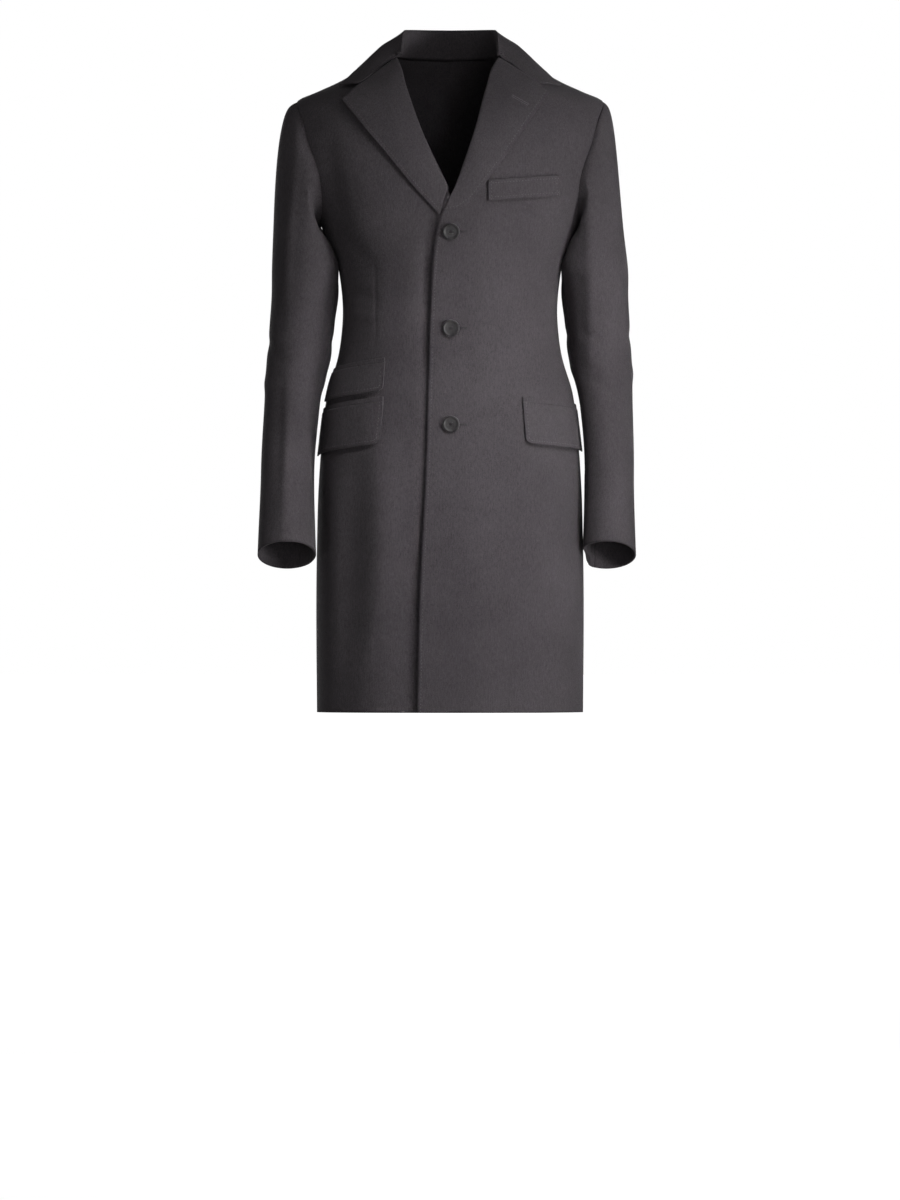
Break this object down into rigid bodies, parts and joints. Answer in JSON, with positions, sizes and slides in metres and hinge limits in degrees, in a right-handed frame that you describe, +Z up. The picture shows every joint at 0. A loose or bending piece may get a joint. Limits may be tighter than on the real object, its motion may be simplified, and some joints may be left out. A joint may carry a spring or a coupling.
{
  "type": "topcoat",
  "caption": "Single-breasted wool topcoat in its hollow worn form, with notched lapels, set-in sleeves, flap pockets and buttons.",
  "frame": {"origin": "on the centre line between the shoulders, level with the neck seam, where the wearer carries the coat", "axes": "+Z up, the front faces -Y and the wearer's left is +X"},
  "size_m": [0.552, 0.3212, 1.0019],
  "materials": {
    "wool_cloth": "brushed charcoal heather wool with a soft nap",
    "button_horn": "satin dark horn"
  },
  "bodies": {
    "root": {"left_front": "wool_cloth", "right_front": "wool_cloth", "left_back": "wool_cloth", "right_back": "wool_cloth", "left_top_sleeve": "wool_cloth", "left_under_sleeve": "wool_cloth", "right_top_sleeve": "wool_cloth", "right_under_sleeve": "wool_cloth", "collar": "wool_cloth", "left_lapel": "wool_cloth", "right_lapel": "wool_cloth", "chest_welt": "wool_cloth", "left_hip_flap": "wool_cloth", "right_hip_flap": "wool_cloth", "ticket_flap": "wool_cloth", "left_hip_jet": "wool_cloth", "right_hip_jet": "wool_cloth", "ticket_jet": "wool_cloth", "button_1": "button_horn", "button_2": "button_horn", "button_3": "button_horn"}
  },
  "joints": []
}
